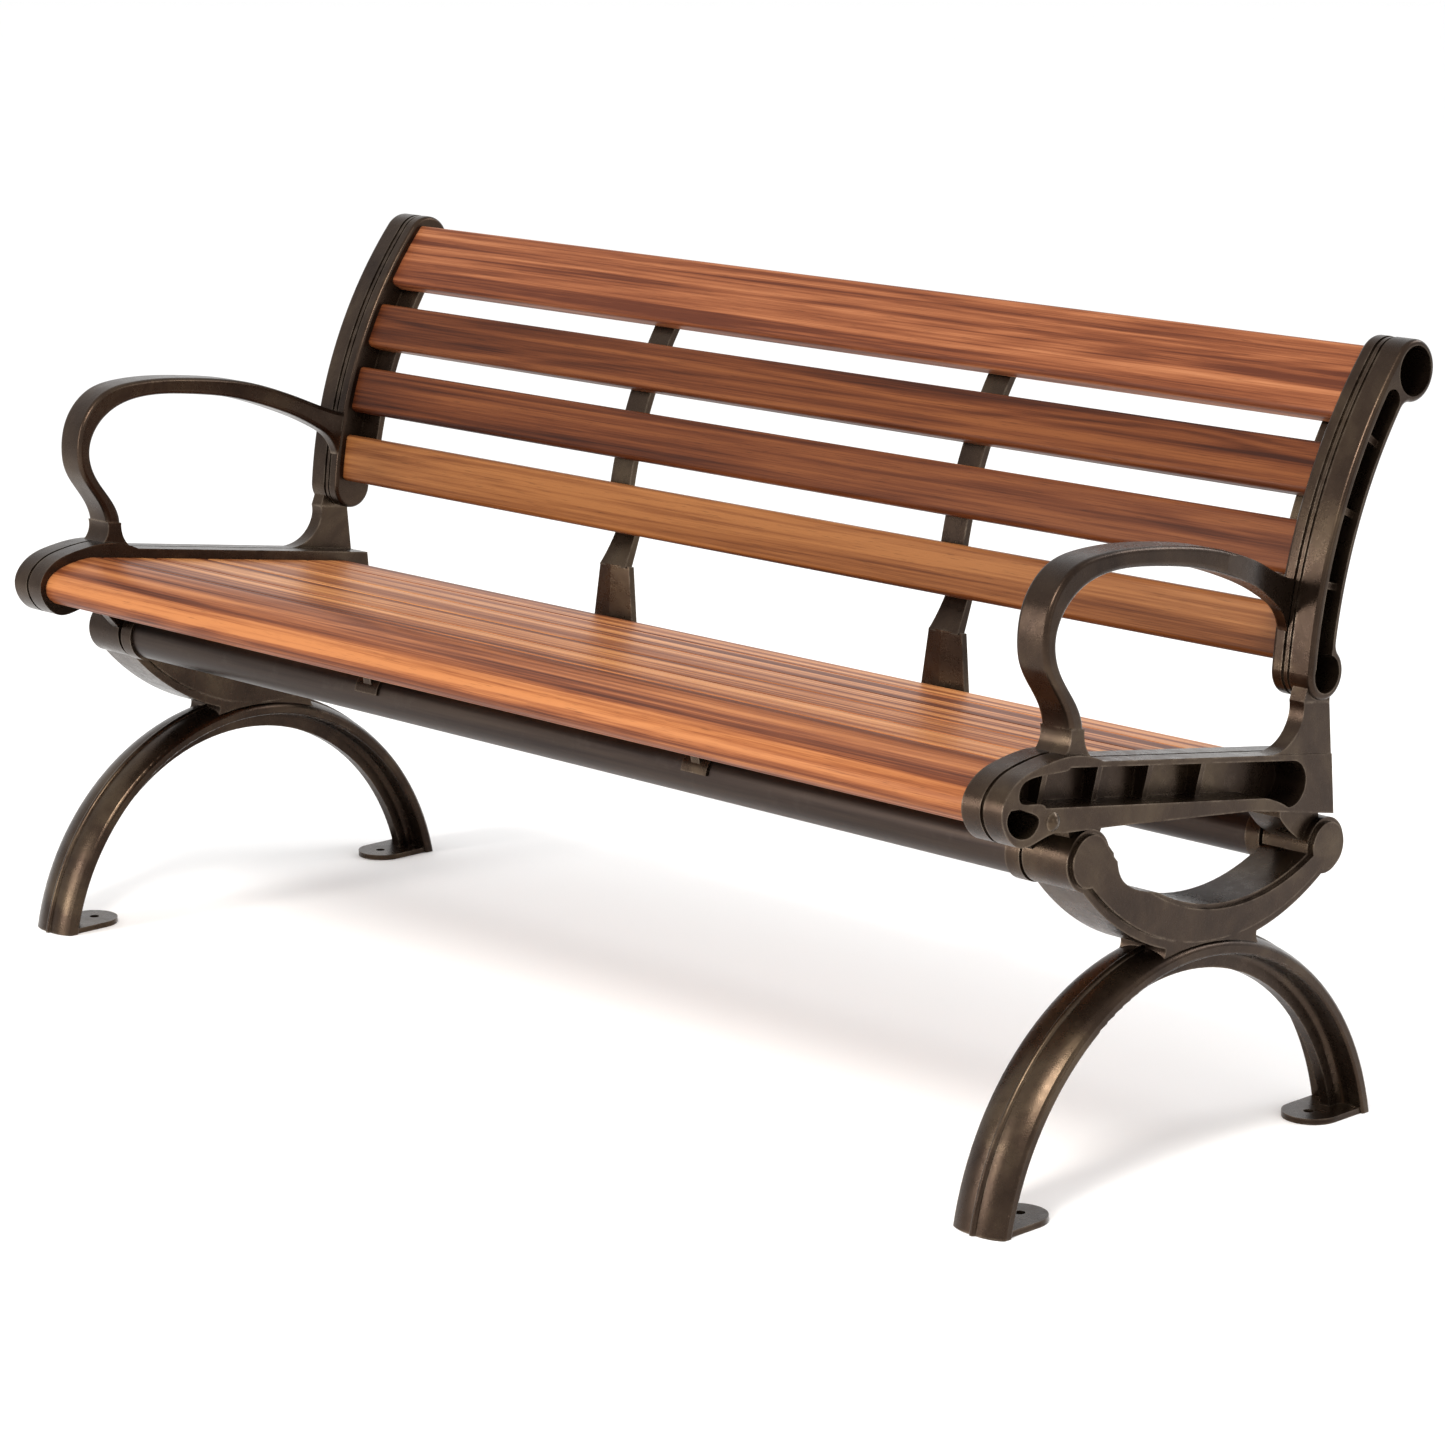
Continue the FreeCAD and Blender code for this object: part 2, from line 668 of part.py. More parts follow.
def make_back_frame():
    frame = make_back_body("back_frame_body", "Sizes.casting_centre + Sizes.back_frame_offset")
    half = size("back_frame_width") / 2
    core = make_sketch(frame, "stile_core")
    draw(core, *back_outline(2.5))
    pad(frame, core, "Sizes.back_frame_width - 12")
    bead = make_sketch(frame, "stile_bead", offset_expression="-Sizes.groove_offset")
    draw(bead, *back_outline(0.5))
    pad(frame, bead, "Sizes.stile_bead_width")
    groove = size("groove_offset")
    reach = size("groove_width") / 2
    for name, near in (("inner_lobe_back", -groove - reach), ("outer_lobe_back", -groove + reach)):
        inner = near < -groove
        lobe = make_sketch(frame, name, offset_expression=f"{near}")
        draw(lobe, *back_outline(0))
        width = half + near if inner else half - near
        pad(frame, lobe, f"{width}", both_ways=False, reverse=inner)
    round_edges(frame, 4.5, lambda edge: at_side(edge, half) or at_side(edge, -half))

    over_post = "Sizes.side_post_offset + Sizes.rail_offset - Sizes.back_frame_offset"
    foot = make_sketch(frame, "stile_foot", offset_expression=over_post)
    joint = POST_JOINT - size("back_centre_v")
    left = 103 - size("back_centre_u")
    right = 144 - size("back_centre_u")
    draw(
        foot,
        (left, joint),
        ("line", (right, joint)),
        ("line", (right - 2, joint + 16)),
        ("line", (left + 4, joint + 16)),
        ("line", (left, joint)),
    )
    pad(frame, foot, "Sizes.side_post_thickness")

    centre = (0, 0)
    outer = size("back_front_radius") - 8
    inner = size("back_rear_radius") + 7
    recess = make_sketch(frame, "side_recess", offset_expression="10 - Sizes.back_frame_width / 2")
    draw(
        recess,
        polar(centre, outer, -2.6),
        ("arc", polar(centre, outer, 15), polar(centre, outer, 28.2)),
        ("arc", polar(centre, (outer + inner) / 2, 29.2), polar(centre, inner, 27.6)),
        ("arc", polar(centre, inner, 15), polar(centre, inner, -2.6)),
        ("line", polar(centre, outer, -2.6)),
    )
    pocket(frame, recess, "Sizes.back_frame_width", reverse=True)
    hollows = (("knob_hollow", KNOB, KNOB_RADIUS - 7), ("scroll_hollow", TOP_SCROLL, TOP_SCROLL_RADIUS - 6))
    for name, spot, radius in hollows:
        hollow = make_sketch(frame, name, offset_expression="10 - Sizes.back_frame_width / 2")
        draw_disc(hollow, spot, radius)
        pocket(frame, hollow, "Sizes.back_frame_width", reverse=True)
    for number, angle in enumerate(BACK_RIB_ANGLES, start=1):
        rib = make_sketch(frame, f"back_rib_{number}", offset_expression="9 - Sizes.back_frame_width / 2")
        draw(
            rib,
            polar(centre, outer + 1, angle - 0.4),
            ("line", polar(centre, outer + 1, angle + 0.4)),
            ("line", polar(centre, inner - 1, angle + 0.4)),
            ("line", polar(centre, inner - 1, angle - 0.4)),
            ("line", polar(centre, outer + 1, angle - 0.4)),
        )
        pad(frame, rib, "Sizes.back_frame_width - 16", both_ways=False)

    ledge = make_sketch(frame, "back_ledge", offset_expression="5 - Sizes.back_frame_width / 2")
    face = size("slat_face_radius") - size("back_slat_thickness")
    rear = face - size("ledge_thickness")
    draw(
        ledge,
        polar(centre, face, -2),
        ("arc", polar(centre, face, 15), polar(centre, face, 32)),
        ("line", polar(centre, rear, 32)),
        ("arc", polar(centre, rear, 15), polar(centre, rear, -2)),
        ("line", polar(centre, face, -2)),
    )
    pad(frame, ledge, "Sizes.ledge_reach + 5", both_ways=False, reverse=True)
    keep(frame, "back_frame_right")
    mirror_left(frame, "back_frame_left")


# ---------------------------------------------------------------- armrest

def make_armrest():
    """A flat loop: an S-shaped foot on the seat frame, a round front, a long top to the stile."""
    arm = make_body("armrest_body", "Sizes.casting_centre")
    sketch = make_sketch(arm, "loop")
    face_centre = (size("back_centre_u"), size("back_centre_v"))
    face = size("back_front_radius")
    top_end = polar(face_centre, face, 6.3)
    low_end = polar(face_centre, face, 0.8)
    draw(
        sketch,
        (-233, ARMREST_JOINT),
        (
            "curve",
            (-241, 226),
            (-259, 246),
            (-275, 266),
            (-282, 290),
            (-279, 324),
            (-252, 359),
            (-216, 372),
            (-120, 381),
            (-46, 379),
            (1, 371.5),
            (42, 362),
            (75, 353.5),
            top_end,
        ),
        ("arc", polar(face_centre, face, 3), low_end),
        (
            "curve",
            (95, 309),
            (84, 319.5),
            (66, 328.5),
            (42, 337.5),
            (5, 347.5),
            (-30, 354.5),
            (-65, 359.5),
            (-130, 361.5),
            (-196, 356),
            (-234, 342),
            (-259, 317),
            (-265.5, 292),
            (-259, 270),
            (-240, 247),
            (-221, 226),
            (-214, ARMREST_JOINT),
        ),
    )
    pad(arm, sketch, "Sizes.armrest_width")
    half = size("armrest_width") / 2
    round_edges(arm, 5, lambda edge: edge.Length > 200 and (at_side(edge, half) or at_side(edge, -half)))
    taper = make_sketch(arm, "rear_taper", "XY_Plane")
    draw(
        taper,
        (half + 0.2, -35),
        ("curve", (half - 2, -8), (11, 28), (2, 60), (-3, 88), (-4, 112)),
        ("line", (half + 10, 112)),
        ("line", (half + 10, -35)),
        ("line", (half + 0.2, -35)),
    )
    pocket(arm, taper, "1200", both_ways=True)
    keep(arm, "armrest_right")
    mirror_left(arm, "armrest_left")


# ---------------------------------------------------------------- slats

def make_slat_body(name, length_expression, outline, back=False):
    slat = make_back_body(name, "0") if back else make_body(name)
    sketch = make_sketch(slat, name + "_section")
    outline(sketch)
    pad(slat, sketch, length_expression)
    keep(slat, name)


def back_slat_outline(low, high):
    """A slat bent to the back's curve, with round corners and a bevelled lower front edge."""
    centre = (0, 0)
    face = size("slat_face_radius")
    rear = face - size("back_slat_thickness")
    degree = math.degrees(1 / face)

    def outline(sketch):
        draw(
            sketch,
            polar(centre, face, low + 6 * degree),
            ("arc", polar(centre, face, (low + high) / 2), polar(centre, face, high - 5 * degree)),
            ("arc", polar(centre, face - 1.5, high - 1.5 * degree), polar(centre, face - 5, high)),
            ("line", polar(centre, rear + 4, high)),
            ("arc", polar(centre, rear + 1.2, high - 1.2 * degree), polar(centre, rear, high - 4 * degree)),
            ("arc", polar(centre, rear, (low + high) / 2), polar(centre, rear, low + 4 * degree)),
            ("arc", polar(centre, rear + 1.2, low + 1.2 * degree), polar(centre, rear + 4, low)),
            ("line", polar(centre, face - 7, low)),
            ("arc", polar(centre, face - 2.2, low + 1.9 * degree), polar(centre, face, low + 6 * degree)),
        )

    return outline


def seat_slat_outline(front, rear):
    """A flat board with small round edges."""
    top = size("slat_height")
    bottom = top - size("seat_slat_thickness")
    soft = 2.5
    side = soft * 0.29

    def outline(sketch):
        draw(
            sketch,
            (front + soft, bottom),
            ("line", (rear - soft, bottom)),
            ("arc", (rear - side, bottom + side), (rear, bottom + soft)),
            ("line", (rear, top - soft)),
            ("arc", (rear - side, top - side), (rear - soft, top)),
            ("line", (front + soft, top)),
            ("arc", (front + side, top - side), (front, top - soft)),
            ("line", (front, bottom + soft)),
            ("arc", (front + side, bottom + side), (front + soft, bottom)),
        )

    return outline


def nose_slat_outline(sketch):
    """The front board, which turns down over the nose of the seat."""
    top = size("slat_height")
    bottom = top - size("seat_slat_thickness")
    rear = NOSE_SLAT_REAR
    draw(
        sketch,
        (rear - 2.5, bottom),
        ("arc", (rear - 0.7, bottom + 0.7), (rear, bottom + 2.5)),
        ("line", (rear, top - 2.5)),
        ("arc", (rear - 0.7, top - 0.7), (rear - 2.5, top)),
        ("curve", (-262, top - 1), (-284, 163), (-304, 153.5), (-315, 141), (-315, 128), (-306, 119)),
        ("arc", (-298, 117), (-293, 123)),
        ("curve", (-294, 133), (-284, 142), (-268, 146.5), (rear - 2.5, bottom)),
    )


def make_slats():
    seat_length = "2 * (Sizes.casting_centre + Sizes.rail_offset) - Sizes.rail_width"
    back_length = "2 * (Sizes.casting_centre + Sizes.back_frame_offset) - Sizes.back_frame_width"
    make_slat_body("seat_slat_1", seat_length, nose_slat_outline)
    front = NOSE_SLAT_REAR + size("seat_slat_pitch") - size("seat_slat_width")
    for number in range(2, SEAT_SLAT_COUNT + 1):
        rear = front + size("seat_slat_width") - (12 if number == SEAT_SLAT_COUNT else 0)
        make_slat_body(f"seat_slat_{number}", seat_length, seat_slat_outline(front, rear))
        front += size("seat_slat_pitch")
    for number, (low, high) in enumerate(BACK_SLATS, start=1):
        make_slat_body(f"back_slat_{number}", back_length, back_slat_outline(low, high), back=True)


# ---------------------------------------------------------------- tie tubes

def make_tube(label, centre):
    """A steel tube with a thick plug at each end, where a set screw bites."""
    tube = make_body(label + "_body")
    wall = make_sketch(tube, label + "_wall")
    draw_circle(wall, centre, "tube_radius")
    length = "2 * (Sizes.casting_centre - Sizes.leg_inset) - Sizes.bowl_width"
    pad(tube, wall, length)
    inside = tube.newObject("Sketcher::SketchObject", label + "_inside")
    support = next(item for item in tube.Origin.OriginFeatures if item.Role == "YZ_Plane")
    inside.AttachmentSupport = [(support, "")]
    inside.MapMode = "FlatFace"
    index = inside.addGeometry(
        Part.Circle(vector(centre), FreeCAD.Vector(0, 0, 1), size("tube_radius") - size("tube_wall")), False
    )
    row = inside.addConstraint(
        Sketcher.Constraint("Radius", index, size("tube_radius") - size("tube_wall"))
    )
    inside.setExpression(f"Constraints[{row}]", "Sizes.tube_radius - Sizes.tube_wall")
    pocket(tube, inside, length + " - 60", both_ways=True)
    keep(tube, label)


# ---------------------------------------------------------------- middle supports

def support_x(side):
    return f"{side} * Sizes.support_centre"


def make_seat_bearer(side, label):
    """A T-shaped bar under the seat slats, with a saddle on the front tube."""
    bearer = make_body(label + "_body", support_x(side))
    under = size("slat_height") - size("seat_slat_thickness")
    post_front = 138
    web = make_sketch(bearer, label + "_web")
    draw(
        web,
        (-262, under),
        ("line", (128, under)),
        ("line", (post_front, under - 10)),
        ("line", (post_front + 4, 118)),
        ("line", (-140, 126)),
        ("curve", (-152, 118), (-154, 100), (-160, 84)),
        ("line", (-188, 84)),
        ("line", (-214, 84)),
        ("curve", (-222, 110), (-240, 128), (-262, under - 8)),
        ("line", (-262, under)),
    )
    pad(bearer, web, "12")
    flange = make_sketch(bearer, label + "_flange")
    draw_box(flange, (-262, under - 7), (128, under))
    pad(bearer, flange, "40")
    saddle = make_sketch(bearer, label + "_saddle")
    socket = size("socket_radius")
    draw(
        saddle,
        (FRONT_TUBE[0] - socket, FRONT_TUBE[1]),
        ("arc", (FRONT_TUBE[0], FRONT_TUBE[1] + socket), (FRONT_TUBE[0] + socket, 84)),
        ("line", (FRONT_TUBE[0] - socket, 84)),
    )
    pad(bearer, saddle, "36")
    clear = make_sketch(bearer, label + "_tube_seat")
    draw_circle(clear, FRONT_TUBE, "tube_radius")
    pocket(bearer, clear, "60", both_ways=True)
    keep(bearer, label)


def make_back_support(side, label):
    """A ridged, tapered post and a neck that bends back to the strap behind the back slats."""
    support = make_body(label + "_body", support_x(side))
    centre = (size("back_centre_u"), size("back_centre_v"))
    face = size("slat_face_radius") - size("back_slat_thickness")
    rear = face - size("strap_thickness")
    half_strap = size("strap_width") / 2

    ridge = 6
    post_sections = []
    for name, height, front, half in (
        ("foot", 150, 137.5, size("post_foot_width") / 2),
        ("top", 228, 130, size("post_top_width") / 2),
    ):
        section = make_sketch(support, f"{label}_post_{name}", "XY_Plane", f"{height}")
        back = front + size("post_thickness")
        draw(
            section,
            (-half, back),
            ("line", (-half, front + ridge)),
            ("line", (0, front)),
            ("line", (half, front + ridge)),
            ("line", (half, back)),
            ("line", (-half, back)),
        )
        post_sections.append(section)
    loft(support, post_sections, ruled=True)

    neck_sections = []
    for name, height, front, back, half in (
        ("low", 226, 132.5, 143, half_strap + 5),
        ("middle", 244, 140.5, 150, half_strap + 2),
        ("high", 263, 147.5, 156, half_strap),
    ):
        section = make_sketch(support, f"{label}_neck_{name}", "XY_Plane", f"{height}")
        draw_box(section, (-half, front), (half, back))
        neck_sections.append(section)
    loft(support, neck_sections)

    strap = make_sketch(support, label + "_strap")
    draw(
        strap,
        (147.5, 262),
        ("curve", (144.5, 269), (137, 276), polar(centre, face, -0.7)),
        ("arc", polar(centre, face, 15), polar(centre, face, 31)),
        ("arc", polar(centre, (face + rear) / 2, 31.6), polar(centre, rear, 31)),
        ("arc", polar(centre, rear, 15), polar(centre, rear, 0)),
        ("curve", (144.5, 281), (153, 272), (156, 262)),
        ("line", (147.5, 262)),
    )
    pad(support, strap, "Sizes.strap_width")

    shank = make_sketch(support, label + "_shank")
    draw(
        shank,
        (155, 110),
        ("line", (148, 110)),
        ("line", (142, 118)),
        ("line", (138.5, 152)),
        ("line", (151, 152)),
        ("line", (155, 110)),
    )
    pad(support, shank, "Sizes.strap_width")
    saddle = make_sketch(support, label + "_saddle")
    radius = size("socket_radius")
    draw(
        saddle,
        (REAR_TUBE[0] - radius, REAR_TUBE[1]),
        ("arc", (REAR_TUBE[0], REAR_TUBE[1] + radius), (REAR_TUBE[0] + radius, REAR_TUBE[1])),
        ("line", (REAR_TUBE[0] - radius, REAR_TUBE[1])),
    )
    pad(support, saddle, "Sizes.strap_width")
    clear = make_sketch(support, label + "_tube_seat")
    draw_circle(clear, REAR_TUBE, "tube_radius")
    pocket(support, clear, "100", both_ways=True)
    keep(support, label)


# ---------------------------------------------------------------- fasteners

def domed_head(radius, height):
    """A domed head on the XY plane, rising along +Z."""
    ball = (radius**2 + height**2) / (2 * height)
    dome = Part.makeSphere(ball, FreeCAD.Vector(0, 0, height - ball))
    return dome.common(Part.makeCylinder(radius, height))


def fastener(head_radius, head_height, shank_radius, shank_length):
    """A domed head above the XY plane with a round shank below it."""
    shank = Part.makeCylinder(shank_radius, shank_length, FreeCAD.Vector(0, 0, -shank_length))
    return domed_head(head_radius, head_height).fuse(shank).removeSplitter()


def headless_screw(foot):
    """An upright set screw with a hexagon socket in its lower end."""
    pin = Part.makeCylinder(size("set_screw_radius"), size("set_screw_length"), foot)
    key = size("set_screw_radius") * 0.55
    corners = [
        foot + FreeCAD.Vector(key * math.cos(math.radians(turn)), key * math.sin(math.radians(turn)), 0)
        for turn in range(0, 361, 60)
    ]
    socket = Part.Face(Part.makePolygon(corners)).extrude(FreeCAD.Vector(0, 0, size("set_screw_length") / 2))
    return pin.cut(socket)


def place_fastener(shape, x, point, direction, back=False):
    """Moves a fastener to a place of the tilted plane; its head faces direction (x, u, v)."""
    centre = (size("back_centre_u"), size("back_centre_v")) if back else (0, 0)
    lean = FreeCAD.Rotation(FreeCAD.Vector(-1, 0, 0), size("tilt_angle"))
    turn = FreeCAD.Rotation(FreeCAD.Vector(0, 0, 1), FreeCAD.Vector(*direction))
    local = FreeCAD.Vector(x, point[0] + centre[0], point[1] + centre[1])
    base = FreeCAD.Vector(0, size("pivot_y"), size("pivot_height")) + lean.multVec(local)
    placed = shape.copy()
    placed.Placement = FreeCAD.Placement(base, lean.multiply(turn))
    return placed


def keep_group(label, shapes):
    """Identical fasteners are one node of separate solids, which no Part primitive can hold."""
    group = doc.addObject("Part::Feature", label)
    group.Shape = Part.makeCompound(shapes)
    group.Placement = FreeCAD.Placement()
    keep(group, label)


def slat_screw_columns():
    """X of each column of screws, and how far behind the slats' rear faces its heads sit."""
    reach = size("ledge_reach") / 2
    seat_edge = size("casting_centre") + size("rail_offset") - size("rail_width") / 2
    back_edge = size("casting_centre") + size("back_frame_offset") - size("back_frame_width") / 2
    seat = [(sign * (seat_edge - reach), size("ledge_thickness")) for sign in (-1, 1)]
    back = [(sign * (back_edge - reach), size("ledge_thickness")) for sign in (-1, 1)]
    seat += [(sign * size("support_centre") + 13, 7) for sign in (-1, 1)]
    back += [(sign * size("support_centre"), size("strap_thickness")) for sign in (-1, 1)]
    return seat, back


def make_fasteners():
    screw = fastener(size("screw_head_radius"), 3.5, size("screw_radius"), 22)
    seat_columns, back_columns = slat_screw_columns()
    under = size("slat_height") - size("seat_slat_thickness")
    centres = [-252]
    middle = NOSE_SLAT_REAR + size("seat_slat_pitch") - size("seat_slat_width") / 2
    for number in range(2, SEAT_SLAT_COUNT + 1):
        centres.append(middle - (6 if number == SEAT_SLAT_COUNT else 0))
        middle += size("seat_slat_pitch")
    seat_screws = [
        place_fastener(screw, x, (u, under - thickness), (0, 0, -1))
        for x, thickness in seat_columns
        for u in centres
    ]
    keep_group("seat_slat_screws", seat_screws)

    face = size("slat_face_radius") - size("back_slat_thickness")
    back_screws = []
    for x, thickness in back_columns:
        for low, high in BACK_SLATS:
            angle = (low + high) / 2
            outward = polar((0, 0), -1, angle)
            spot = polar((0, 0), face - thickness, angle)
            back_screws.append(place_fastener(screw, x, spot, (0, *outward), back=True))
    keep_group("back_slat_screws", back_screws)

    socket_middle = (size("bowl_width") + size("socket_depth")) / 2
    screw_x = size("casting_centre") - size("leg_inset") - socket_middle
    set_screws = []
    for centre in (FRONT_TUBE, REAR_TUBE):
        run, height = on_leg(centre)
        y = run + size("arch_centre_y")
        z = height - size("arch_depth") - size("socket_radius")
        set_screws += [headless_screw(FreeCAD.Vector(sign * screw_x, y, z)) for sign in (-1, 1)]
    keep_group("tube_set_screws", set_screws)

    side_bolt = fastener(size("bolt_head_radius"), 5, size("bolt_radius"), size("rail_width") + 18)
    rail_face = size("casting_centre") + size("rail_offset") + size("rail_width") / 2
    side_bolts = [place_fastener(side_bolt, sign * rail_face, SIDE_BOLT, (sign, 0, 0)) for sign in (-1, 1)]
    keep_group("seat_frame_bolts", side_bolts)


# ---------------------------------------------------------------- assembly

make_leg()
make_seat_frame()
make_back_frame()
make_armrest()
make_slats()
make_tube("front_tube", FRONT_TUBE)
make_tube("rear_tube", REAR_TUBE)
for hand, side_name in ((-1, "left"), (1, "right")):
    make_seat_bearer(hand, "seat_bearer_" + side_name)
    make_back_support(hand, "back_support_" + side_name)
make_fasteners()
doc.recompute()

for item in doc.Objects:
    if "Invalid" in item.State or "Error" in item.State:
        raise RuntimeError(f"{item.Name} is {item.State}")
os.makedirs("parts", exist_ok=True)
for node in kept_nodes:
    if node.Shape.isNull() or not node.Shape.isValid():
        raise RuntimeError(f"{node.Label} has no valid shape")
    node.Shape.exportStep(f"parts/{node.Label}.step")
    box = node.Shape.BoundBox
    print(
        f"{node.Label}: {len(node.Shape.Solids)} solids, volume {node.Shape.Volume:.0f}, "
        f"x {box.XMin:.1f} {box.XMax:.1f} y {box.YMin:.1f} {box.YMax:.1f} z {box.ZMin:.1f} {box.ZMax:.1f}"
    )
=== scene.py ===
import math

import bpy
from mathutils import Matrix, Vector

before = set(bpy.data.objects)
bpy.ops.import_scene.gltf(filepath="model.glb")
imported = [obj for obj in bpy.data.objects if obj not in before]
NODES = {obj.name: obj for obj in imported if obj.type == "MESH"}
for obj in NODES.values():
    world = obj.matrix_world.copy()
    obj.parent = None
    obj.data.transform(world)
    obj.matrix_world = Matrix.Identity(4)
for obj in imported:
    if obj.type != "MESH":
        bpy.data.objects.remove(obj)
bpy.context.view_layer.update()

# Garden bench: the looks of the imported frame. Metres, +Z up, the front faces -Y, the near end is +X.

CAMERA_PLACE = Vector((3.316, -3.174, 1.386))
CAMERA_YAW = math.radians(45.55)
CAMERA_PITCH = math.radians(13.08)
CAMERA_LENS = 109.1
SENSOR_WIDTH = 36
VIEW_LIMIT = 50

FLOOR_REACH = 24
FLOOR_DROP = 0.0005
BENCH_MIDDLE = (0, 0, 0.4)

SHARP_ANGLE = math.radians(32)
BACK_SEED_SHIFT = 11
PORE_SHADE = 0.4
EVEN = (1, 1, 1)

# Each slat's four wood tones, dark to light, and how strongly its growth rings show.
TAN = ((0.095, 0.025, 0.009), (0.20, 0.059, 0.019), (0.36, 0.130, 0.041), (0.60, 0.270, 0.096))
AMBER = ((0.060, 0.015, 0.006), (0.13, 0.035, 0.012), (0.23, 0.073, 0.024), (0.37, 0.140, 0.048))
RUSSET = ((0.075, 0.019, 0.008), (0.15, 0.044, 0.017), (0.24, 0.082, 0.033), (0.36, 0.146, 0.065))
UMBER = ((0.027, 0.006, 0.002), (0.057, 0.014, 0.004), (0.095, 0.026, 0.008), (0.150, 0.048, 0.015))
HONEY = ((0.062, 0.018, 0.006), (0.115, 0.036, 0.010), (0.18, 0.064, 0.019), (0.26, 0.104, 0.033))
WOOD = {
    "seat_slat_1": (AMBER, 0.012),
    "seat_slat_2": (TAN, 0.010),
    "seat_slat_3": (TAN, 0.014),
    "seat_slat_4": (TAN, 0.008),
    "seat_slat_5": (TAN, 0.012),
    "seat_slat_6": (TAN, 0.008),
    "back_slat_1": (RUSSET, 0.016),
    "back_slat_2": (UMBER, 0.026),
    "back_slat_3": (UMBER, 0.022),
    "back_slat_4": (HONEY, 0.014),
}


# ---------------------------------------------------------------- camera, floor, light

def add_camera():
    data = bpy.data.cameras.new("camera")
    data.lens = CAMERA_LENS
    data.sensor_width = SENSOR_WIDTH
    data.clip_end = VIEW_LIMIT
    camera = bpy.data.objects.new("camera", data)
    bpy.context.scene.collection.objects.link(camera)
    camera.location = CAMERA_PLACE
    camera.rotation_euler = (math.pi / 2 - CAMERA_PITCH, 0, CAMERA_YAW)
    bpy.context.scene.camera = camera


def add_light(name, place, size, watts, colour=(1, 1, 1)):
    """A rectangular softbox that looks at the middle of the bench."""
    data = bpy.data.lights.new(name, "AREA")
    data.shape = "RECTANGLE"
    data.size, data.size_y = size
    data.energy = watts
    data.color = colour
    light = bpy.data.objects.new(name, data)
    bpy.context.scene.collection.objects.link(light)
    light.location = place
    aim = Vector(BENCH_MIDDLE) - Vector(place)
    light.rotation_euler = aim.to_track_quat("-Z", "Y").to_euler()


def add_floor():
    floor_mesh = bpy.data.meshes.new("floor")
    corners = [(x * FLOOR_REACH, y * FLOOR_REACH, 0) for x, y in ((-1, -1), (1, -1), (1, 1), (-1, 1))]
    floor_mesh.from_pydata(corners, [], [(0, 1, 2, 3)])
    floor = bpy.data.objects.new("floor", floor_mesh)
    bpy.context.scene.collection.objects.link(floor)
    floor.location.z = -FLOOR_DROP
    paper = NodeMaterial("studio_paper")
    paper.shader.inputs["Base Color"].default_value = (0.97, 0.97, 0.97, 1)
    paper.shader.inputs["Roughness"].default_value = 0.9
    floor_mesh.materials.append(paper.material)


def add_studio_light():
    world = bpy.data.worlds.new("studio")
    world.use_nodes = True
    background = world.node_tree.nodes["Background"]
    background.inputs["Color"].default_value = (1, 1, 1, 1)
    background.inputs["Strength"].default_value = 1.03
    bpy.context.scene.world = world
    bpy.context.scene.view_settings.view_transform = "Standard"
    add_light("key", (1.4, -2.2, 3.1), (1.0, 1.0), 110, (1, 0.96, 0.9))
    add_light("front_strip", (-1.4, -3.3, 1.2), (0.6, 1.8), 60, (1, 0.98, 0.95))
    add_light("end_strip", (4.2, -0.2, 1.3), (0.5, 1.8), 8, (1, 0.98, 0.95))
    add_light("back_edge", (1.6, 3.0, 2.4), (2.0, 0.8), 40)


# ---------------------------------------------------------------- materials

